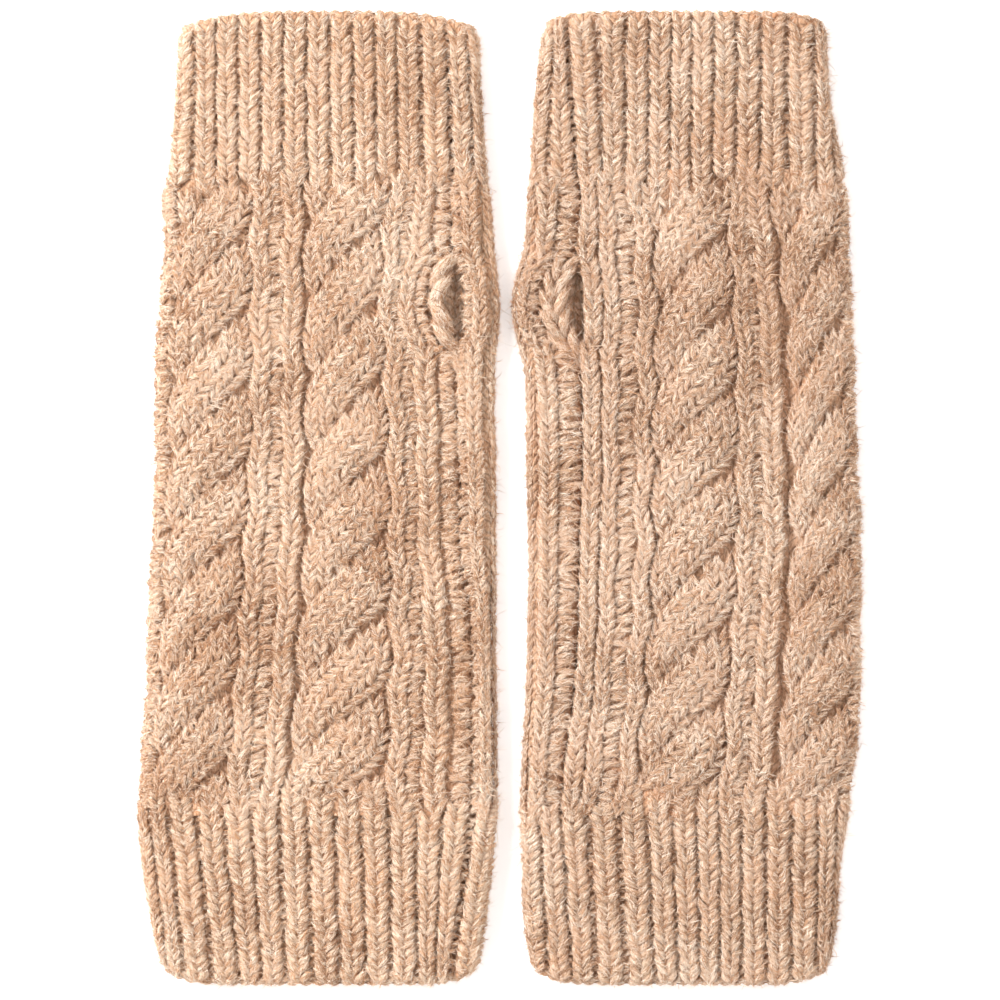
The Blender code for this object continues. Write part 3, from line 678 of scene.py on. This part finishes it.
def profileAt(side, name, y):
    # (x, rise) across the back, from one side fold to the other
    points = []
    if "cuff" in name:
        atFree, atJoin = cuffLines(side, name)
        free, join = cuffEnds(name)
        lines = atJoin + (atFree - atJoin) * (y - join) / (free - join)
        for a, b in zip(lines, lines[1:]):
            points.append((a, rise["gap"] + 0.3))
            points += [(a + share * (b - a), rise["rib"]) for share in (0.3, 0.7)]
    else:
        for before, after, share, width, kind in panelColumns[side]:
            a, b = spanAt(side, before, after, y)
            x, value = a + (b - a) * share, rise[kind]
            value += 0.0 if kind == "knit" else shell["purlFill"]
            points += [(x - width * 0.3, value), (x + width * 0.3, value)]
            if kind == "knit":
                points += [(x - width * 0.55, rise["purl"]), (x + width * 0.55, rise["purl"])]
        for cable in (side + "1", side + "2"):
            a, b = spanAt(side, cable + "Left", cable + "Right", y)
            twist = cableTwist[cable]
            points += [(a - 0.2, rise["gap"]), (b + 0.2, rise["gap"])]
            points = [point for point in points if not a < point[0] < b]
            for across in np.linspace(0.06, 0.94, 12):
                phase = ((groove(twist, 0, across) - y) / twist["repeat"]) % 1.0
                points.append((a + (b - a) * across, cableHeight(across, phase) - 0.3))
    points += [(x, rise["seam"]) for x in spanAt(side, "lipLeft", "lipRight", y)]
    return np.array(sorted(points))


def wallRing(side, name, y):
    # the wall's outline at y, round the outside and back along the inside, and the painted shade on it
    left, right = spanAt(side, "foldLeft", "foldRight", y)
    lipLeft, lipRight = spanAt(side, "lipLeft", "lipRight", y)
    profile = profileAt(side, name, y)
    reach, arc = tube["foldReach"], tube["foldArc"]
    runRight, runLeft = (np.linspace(0, 1, count) for count in shell["across"][side])
    u = np.concatenate([lipRight + (right - reach + 2 * arc - lipRight) * runRight,
                        left + reach - 2 * arc + (lipLeft - left - reach + 2 * arc) * runLeft])
    lift = np.interp(u, profile[:, 0], profile[:, 1]) - shell["drop"]
    fade = foldFade(side, u, y)
    lift = lift * fade - shell["foldDrop"] * (1 - fade)
    under = np.maximum(left + reach - u, u - (right - reach)) > 1.5 * arc
    lift = np.where(under, 0.0, lift)
    x, z = wrap(side, u, np.full(len(u), y), lift)[:2]
    bottom, top = tube["wall"], tube["wall"] + tube["hollow"]
    z = np.where(fade > 0.3, np.maximum(z, top + shell["thin"]), z)
    if "cuff" in name:
        near = max(0.0, 1 - abs(y - cuffEnds(name)[0]) / shell["edge"])
        z = z + (tube["height"] / 2 - z) * (near ** 2 * shell["pinch"])
    innerLeft, innerRight = left + tube["innerReach"], right - tube["innerReach"]
    middle, corner = tube["wall"] + tube["hollow"] / 2, tube["innerCorner"]
    inner = [(lipLeft, top), (innerLeft + corner, top), (innerLeft, middle), (innerLeft + corner, bottom)]
    inner += [(innerLeft + (innerRight - innerLeft) * share, bottom) for share in (0.25, 0.5, 0.75)]
    inner += [(innerRight - corner, bottom), (innerRight, middle), (innerRight - corner, top), (lipRight, top)]
    ring = np.concatenate([np.stack([x, z], -1), np.array(inner)])
    # painted shade: darkest under the stitches on the flat top, lighter round the folds, and dark inside the
    # tube
    outside = shell["underStitches"] + (1 - shell["underStitches"]) * (1 - fade) ** 1.5
    shade = np.concatenate([outside, np.full(len(inner), shell["inside"])])
    shift = cuffShift(name, side, ring[:, 0], np.full(len(ring), y))
    return np.stack([ring[:, 0], y + shift - tube["length"] / 2, ring[:, 1]], -1), shade


def closeEnd(verts, outer, inner):
    # closes the cut edge of the wall between its outer and inner lines
    faces, i, j = [], 0, 0
    while i < len(outer) - 1 or j < len(inner) - 1:
        outward = inward = math.inf
        if i < len(outer) - 1:
            outward = math.dist(verts[outer[i + 1]], verts[inner[j]])
        if j < len(inner) - 1:
            inward = math.dist(verts[outer[i]], verts[inner[j + 1]])
        if outward <= inward:
            faces.append([outer[i], outer[i + 1], inner[j]])
            i += 1
        else:
            faces.append([outer[i], inner[j + 1], inner[j]])
            j += 1
    return faces


def clothPiece(label, name, side):
    # the knitted wall under the stitches: one closed shell that bends round the flat tube
    start, stop = tube["joinArm"] + shell["meet"], tube["joinKnuckle"] - shell["meet"]
    if "knuckle" in name:
        start, stop = tube["joinKnuckle"] + shell["meet"], tube["length"] - shell["short"]
    elif "arm" in name:
        start, stop = shell["short"], tube["joinArm"] - shell["meet"]
    rows = np.linspace(start, stop, int((stop - start) / shell["stepAlong"]) + 1)
    rings, shades = zip(*(wallRing(side, name, y) for y in rows))
    verts = np.concatenate(rings) * mm
    ids = np.arange(len(verts)).reshape(len(rows), -1)
    nxt = np.roll(ids, -1, axis=1)
    faces = np.stack([ids[:-1], nxt[:-1], nxt[1:], ids[1:]], -1).reshape(-1, 4).tolist()
    outside = sum(shell["across"][side])
    for row, turned in ((0, True), (len(rows) - 1, False)):
        ends = closeEnd(verts, ids[row, :outside].tolist(), ids[row, outside:][::-1].tolist())
        faces += [end[::-1] for end in ends] if turned else ends
    paintedShades = (("paintedShade", "FLOAT", np.concatenate(shades)),)
    obj = newMesh(label, verts, faces, paintedShades, shell["lowest"])
    obj.data.set_sharp_from_angle(angle=math.radians(70))
    print(label, len(verts), "points")
    return obj, rows


def newGroup(name, inputs, outputs):
    # a tuple makes a colour socket, a number a plain one
    group = bpy.data.node_groups.new(name, "ShaderNodeTree")
    for way, sockets in (("INPUT", inputs), ("OUTPUT", outputs)):
        for label, value in sockets.items():
            kind = "NodeSocketColor" if isinstance(value, tuple) else "NodeSocketFloat"
            socket = group.interface.new_socket(label, in_out=way, socket_type=kind)
            if way == "INPUT":
                socket.default_value = value
    return group, group.nodes.new("NodeGroupInput"), group.nodes.new("NodeGroupOutput")


def addNode(tree, kind, links=None, **settings):
    # links holds the sockets to join and the values to set, settings the node's own choices
    node = tree.nodes.new(kind)
    for key, value in settings.items():
        setattr(node, key, value)
    for key, value in (links or {}).items():
        if isinstance(value, bpy.types.NodeSocket):
            tree.links.new(value, node.inputs[key])
        else:
            node.inputs[key].default_value = value
    return node


def calc(tree, operation, a, b=0.0, clamp=False):
    node = addNode(tree, "ShaderNodeMath", {0: a, 1: b}, operation=operation, use_clamp=clamp)
    return node.outputs[0]


def blendColour(tree, share, a, b, mode="MIX"):
    node = addNode(tree, "ShaderNodeMix", {0: share, 6: a, 7: b}, data_type="RGBA", blend_type=mode)
    return node.outputs[2]


def noiseAt(tree, place, scale, detail=2.0, roughness=0.5):
    links = {"Vector": place, "Scale": scale, "Detail": detail, "Roughness": roughness}
    return addNode(tree, "ShaderNodeTexNoise", links).outputs["Fac"]


def stretchTo(tree, value, fromMin, fromMax, toMin=0.0, toMax=1.0, kind="LINEAR"):
    links = {"Value": value, "From Min": fromMin, "From Max": fromMax, "To Min": toMin, "To Max": toMax}
    return addNode(tree, "ShaderNodeMapRange", links, interpolation_type=kind).outputs[0]


def attributeAt(tree, name, output="Fac"):
    return addNode(tree, "ShaderNodeAttribute", attribute_name=name).outputs[output]


def placeAt(tree):
    return addNode(tree, "ShaderNodeTexCoord").outputs["Object"]


def makeFibreStreaks():
    # fine fibres along each yarn, from the yarn's own coordinates
    group, ins, outs = newGroup(
        "fibreStreaks", {"Stretch": 0.35, "Fineness": 3.2}, {"Streaks": 0.5, "Slubs": 0.5})
    split = addNode(group, "ShaderNodeSeparateXYZ", {0: attributeAt(group, "yarn", "Vector")})
    # every stitch cuts its own place out of the noise
    far = calc(group, "MULTIPLY", attributeAt(group, "tone"), 271.0)
    along = calc(group, "ADD", calc(group, "MULTIPLY", split.outputs[0], ins.outputs["Stretch"]), far)
    a = calc(group, "MULTIPLY", split.outputs[1], ins.outputs["Fineness"])
    b = calc(group, "MULTIPLY", split.outputs[2], ins.outputs["Fineness"])
    place = addNode(group, "ShaderNodeCombineXYZ", {0: along, 1: a, 2: b}).outputs[0]
    group.links.new(noiseAt(group, place, 1.0, 3.0, 0.65), outs.inputs["Streaks"])
    group.links.new(noiseAt(group, place, 0.45, 1.0), outs.inputs["Slubs"])
    return group


def makeHeatherPatches():
    # where the yarn runs orange, and where it runs paler (above 0) or browner (below 0)
    group, ins, outs = newGroup(
        "heatherPatches", {"Warm Scale": 75.0, "Cloud Scale": 38.0}, {"Warm": 0.0, "Cloud": 0.0})
    place = placeAt(group)
    patch = noiseAt(group, place, ins.outputs["Warm Scale"], 3.0, 0.6)
    cloud = noiseAt(group, place, ins.outputs["Cloud Scale"], 3.0, 0.65)
    group.links.new(stretchTo(group, patch, 0.46, 0.63), outs.inputs["Warm"])
    group.links.new(stretchTo(group, cloud, 0.35, 0.65, -0.5, 0.5), outs.inputs["Cloud"])
    return group


def makeHeatherTone():
    # blends the fibre colours of a heathered yarn in patches, streaks, slubs and pale flecks
    group, ins, outs = newGroup("heatherTone", {
        "Streaks": 0.5, "Slubs": 0.5, "Fleck Share": 0.5,
        "Middle": (0.80, 0.56, 0.40, 1), "Warm": (0.72, 0.42, 0.26, 1),
        "Pale": (0.93, 0.76, 0.61, 1), "Deep": (0.45, 0.27, 0.17, 1)}, {"Colour": (1, 1, 1, 1)})
    patches = addNode(group, "ShaderNodeGroup", node_tree=heatherPatches)
    spots = noiseAt(group, placeAt(group), 420.0)
    shares = (
        ("Pale", calc(group, "MULTIPLY", patches.outputs["Cloud"], 0.9, True)),
        ("Deep", calc(group, "MULTIPLY", patches.outputs["Cloud"], -0.7, True)),
        ("Pale", stretchTo(group, ins.outputs["Streaks"], 0.5, 0.62, toMax=0.9)),
        ("Deep", stretchTo(group, ins.outputs["Streaks"], 0.46, 0.34, toMax=0.75)),
        ("Pale", stretchTo(group, ins.outputs["Slubs"], 0.56, 0.72, toMax=0.7)),
        ("Pale", stretchTo(group, spots, 0.6, 0.7, toMax=ins.outputs["Fleck Share"])),
    )
    colour = blendColour(group, patches.outputs["Warm"], ins.outputs["Middle"], ins.outputs["Warm"])
    for fibre, share in shares:
        colour = blendColour(group, share, colour, ins.outputs[fibre])
    group.links.new(colour, outs.inputs["Colour"])
    return group


def makeCreviceShade():
    # painted shade: browner and darker where a strand dives between its neighbours, tinted by the Crevice
    # colour
    group, ins, outs = newGroup("creviceShade", {
        "Colour": (0.7, 0.5, 0.35, 1), "Crevice": (0.78, 0.53, 0.38, 1), "Reach": 0.62}, {
        "Colour": (1, 1, 1, 1)})
    lit = stretchTo(group, attributeAt(group, "paintedShade"), 0.0, ins.outputs["Reach"], kind="SMOOTHSTEP")
    tint = blendColour(group, lit, ins.outputs["Crevice"], (1, 1, 1, 1))
    shaded = blendColour(group, 1.0, ins.outputs["Colour"], tint, "MULTIPLY")
    group.links.new(shaded, outs.inputs["Colour"])
    return group


def makeKnitRelief():
    # columns of V stitches as a height, for cloth seen plain, from the place on the object
    group, ins, outs = newGroup("knitRelief", {"Column": 0.0054, "Row": 0.0026}, {"Height": 0.5})
    place = placeAt(group)
    split = addNode(group, "ShaderNodeSeparateXYZ", {0: place})
    shake = calc(group, "MULTIPLY", calc(group, "SUBTRACT", noiseAt(group, place, 140.0), 0.5), 0.004)
    x = calc(group, "DIVIDE", calc(group, "ADD", split.outputs[0], shake), ins.outputs["Column"])
    saw = calc(group, "ABSOLUTE", calc(group, "SUBTRACT", calc(group, "FRACT", x), 0.5))
    y = calc(group, "DIVIDE", calc(group, "ADD", split.outputs[1], shake), ins.outputs["Row"])
    slant = calc(group, "FRACT", calc(group, "SUBTRACT", y, calc(group, "MULTIPLY", saw, 1.7)))
    leg = calc(group, "SINE", calc(group, "MULTIPLY", slant, math.pi))
    across = calc(group, "SINE", calc(group, "MULTIPLY", saw, 2 * math.pi))
    rounded = calc(group, "MULTIPLY", leg, calc(group, "MAXIMUM", across, 0.0))
    group.links.new(calc(group, "POWER", rounded, 0.5), outs.inputs["Height"])
    return group


heatherPatches = makeHeatherPatches()
fibreStreaks, heatherTone = makeFibreStreaks(), makeHeatherTone()
creviceShade, knitRelief = makeCreviceShade(), makeKnitRelief()


def newMaterial(name, values):
    material = bpy.data.materials.new(name)
    material.use_nodes = True
    shader = material.node_tree.nodes["Principled BSDF"]
    for key, value in values.items():
        shader.inputs[key].default_value = value
    return material, material.node_tree, shader


def heatherColour(tree, look, links, lighter=1.0):
    tone = addNode(tree, "ShaderNodeGroup", links, node_tree=heatherTone)
    for key, colour in look.items():
        tone.inputs[key].default_value = (*[min(1, value * lighter) for value in colour], 1)
    return tone.outputs["Colour"]


def paint(tree, shader, colour):
    # painted shade: the colour is darkened by the creviceShade group before it becomes the base colour
    crevice = addNode(tree, "ShaderNodeGroup", {"Colour": colour}, node_tree=creviceShade)
    tree.links.new(crevice.outputs["Colour"], shader.inputs["Base Color"])


def roughen(tree, shader, height, strength, distance):
    links = {"Strength": strength, "Distance": distance, "Height": height}
    bump = addNode(tree, "ShaderNodeBump", links)
    tree.links.new(bump.outputs["Normal"], shader.inputs["Normal"])


yarnLook = {
    "left": {"Middle": (0.75, 0.52, 0.35), "Warm": (0.71, 0.40, 0.22),
             "Pale": (0.94, 0.76, 0.59), "Deep": (0.38, 0.18, 0.09)},
    "right": {"Middle": (0.68, 0.465, 0.31), "Warm": (0.65, 0.36, 0.20),
              "Pale": (0.89, 0.69, 0.53), "Deep": (0.34, 0.165, 0.085)},
    "shader": {"Roughness": 0.92, "Sheen Weight": 0.25, "Sheen Roughness": 0.5,
               "Sheen Tint": (1.0, 0.9, 0.8, 1), "Specular IOR Level": 0.2},
    "stretch": 0.3, "fineness": 3.4, "rimLighter": 1.14,
}


def yarnMaterial(name, look, lighter=1.0):
    material, tree, shader = newMaterial(name, yarnLook["shader"])
    fibres = {"Stretch": yarnLook["stretch"], "Fineness": yarnLook["fineness"]}
    streaks = addNode(tree, "ShaderNodeGroup", fibres, node_tree=fibreStreaks)
    links = {key: streaks.outputs[key] for key in ("Streaks", "Slubs")}
    paint(tree, shader, heatherColour(tree, look, links, lighter))
    roughen(tree, shader, streaks.outputs["Streaks"], 0.9, 0.0006)
    return material


groundLook = {
    "shader": {"Roughness": 0.95, "Sheen Weight": 0.15, "Sheen Roughness": 0.6,
               "Sheen Tint": (1.0, 0.88, 0.78, 1), "Specular IOR Level": 0.2},
    "fibres": 1700.0, "valleyShade": 0.72,
}


def groundMaterial(name, look):
    material, tree, shader = newMaterial(name, groundLook["shader"])
    stretch = addNode(tree, "ShaderNodeMapping", {"Vector": placeAt(tree), "Scale": (1.0, 0.45, 1.0)})
    fibres = noiseAt(tree, stretch.outputs[0], groundLook["fibres"], 3.0, 0.7)
    relief = addNode(tree, "ShaderNodeGroup", node_tree=knitRelief).outputs["Height"]
    # painted shade: the knit pattern's valleys are painted darker, as well as bumped
    shade = stretchTo(tree, relief, 0.0, 0.75, groundLook["valleyShade"], 1.0)
    colour = heatherColour(tree, look, {"Streaks": fibres})
    paint(tree, shader, blendColour(tree, 1.0, colour, shade, "MULTIPLY"))
    height = calc(tree, "ADD", relief, calc(tree, "MULTIPLY", fibres, 0.35))
    roughen(tree, shader, height, 0.8, 0.0008)
    return material


fuzzLook = {
    "shader": {"Roughness": 0.85, "Sheen Weight": 0.3, "Sheen Roughness": 0.4,
               "Sheen Tint": (1.0, 0.92, 0.84, 1), "Specular IOR Level": 0.2},
    "stops": {"Deep": 0.13, "Warm": 0.28, "Middle": 0.44, "Pale": 0.64, "White": 0.92},
    "White": (0.97, 0.86, 0.73), "clouds": 0.4, "warm": 0.3,
}


def fuzzMaterial(name, look):
    material, tree, shader = newMaterial(name, fuzzLook["shader"])
    patches = addNode(tree, "ShaderNodeGroup", node_tree=heatherPatches)
    shift = calc(tree, "MULTIPLY", patches.outputs["Cloud"], fuzzLook["clouds"])
    tone = calc(tree, "ADD", attributeAt(tree, "tone"), shift, True)
    ramp = addNode(tree, "ShaderNodeValToRGB", {0: tone})
    elements, colours = ramp.color_ramp.elements, {**look, "White": fuzzLook["White"]}
    while len(elements) < len(fuzzLook["stops"]):
        elements.new(0.5)
    for element, (fibre, at) in zip(elements, fuzzLook["stops"].items()):
        element.position, element.color = at, (*colours[fibre], 1)
    share = calc(tree, "MULTIPLY", patches.outputs["Warm"], fuzzLook["warm"])
    paint(tree, shader, blendColour(tree, share, ramp.outputs["Color"], (*look["Warm"], 1)))
    return material


def finish(obj, material):
    obj.data.materials.append(material)
    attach(obj, "root")
    return obj


parts = {  # the slot of each part, and the solids that its cloth stands for
    "knuckle_cuff": {"slot": "rib_knit", "layers": ("back", "thumb_strip", "palm")},
    "cable_panel": {"slot": "cable_knit", "layers": ("back", "thumb_band", "thumb_strip", "palm")},
    "arm_cuff": {"slot": "rib_knit", "layers": ("back", "thumb_strip", "palm")},
}
for side in ("left", "right"):
    look = yarnLook[side]
    yarnFinish = yarnMaterial(side + "Yarn", look)
    rimFinish = yarnMaterial(side + "RimYarn", look, yarnLook["rimLighter"])
    groundFinish = groundMaterial(side + "Ground", look)
    fuzzFinish = fuzzMaterial(side + "Fuzz", look)
    for part, made in parts.items():
        name, slot, panel = f"{side}_{part}", made["slot"], part == "cable_panel"
        cloth, rows = clothPiece(name + "_cloth", name, side)
        finish(cloth, groundFinish)
        yarn = panelYarn(side) if panel else cuffYarn(side, name)
        stitches = finish(yarnPiece(name + "_stitches", name, side, yarn), yarnFinish)
        hairs = fuzz["panel" if panel else "cuff"]
        nap = finish(fuzzPiece(name + "_nap", name, side, yarn, hairs), fuzzFinish)
        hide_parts(*[f"{name}_{layer}" for layer in made["layers"]])
    strands = rimYarn(side)
    rim = yarnPiece(side + "_thumb_rim_yarn", "", side, strands, thumbRim["sides"])
    rimNap = fuzzPiece(side + "_thumb_rim_nap", "", side, strands, fuzz["rim"])
    finish(rim, rimFinish)
    finish(rimNap, fuzzFinish)
    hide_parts(side + "_thumb_rim")
    print(side, "wrist warmer done")

bpy.ops.mesh.primitive_plane_add(size=6.0, location=(0, 0, 0))
floor = bpy.context.object
floor.name = "floor"
paper = {  # it glows faintly, like a light table
    "Base Color": (0.97, 0.97, 0.97, 1), "Roughness": 0.9, "Specular IOR Level": 0.1,
    "Emission Color": (1, 1, 1, 1), "Emission Strength": 0.35,
}
floor.data.materials.append(newMaterial("paper", paper)[0])

studio = {
    "key": {"at": (-1.5, 0.75, 1.45), "size": 1.0, "power": 66},
    "fill": {"at": (1.3, -0.6, 1.6), "size": 1.6, "power": 8},
    "sky": 0.74,
}
for name in ("key", "fill"):
    light = studio[name]
    data = bpy.data.lights.new(name, "AREA")
    data.size, data.energy = light["size"], light["power"]
    lamp = bpy.data.objects.new(name, data)
    lamp.location = light["at"]
    lamp.rotation_euler = (-lamp.location).to_track_quat("-Z", "Y").to_euler()
    bpy.context.scene.collection.objects.link(lamp)
world = bpy.data.worlds.new("studio")
world.use_nodes = True
background = world.node_tree.nodes["Background"]
background.inputs["Color"].default_value = (1, 1, 1, 1)
background.inputs["Strength"].default_value = studio["sky"]
bpy.context.scene.world = world

view = {"lens": 247.7, "sensor": 36, "reach": 20, "at": (-0.15 * mm, -0.6 * mm, 2.0)}
camera = bpy.data.cameras.new("camera")
camera.lens, camera.sensor_width, camera.clip_end = view["lens"], view["sensor"], view["reach"]
eye = bpy.data.objects.new("camera", camera)
eye.location = view["at"]
bpy.context.scene.collection.objects.link(eye)
bpy.context.scene.camera = eye
bpy.context.scene.view_settings.view_transform = "Standard"
bpy.context.scene.view_settings.look = "None"
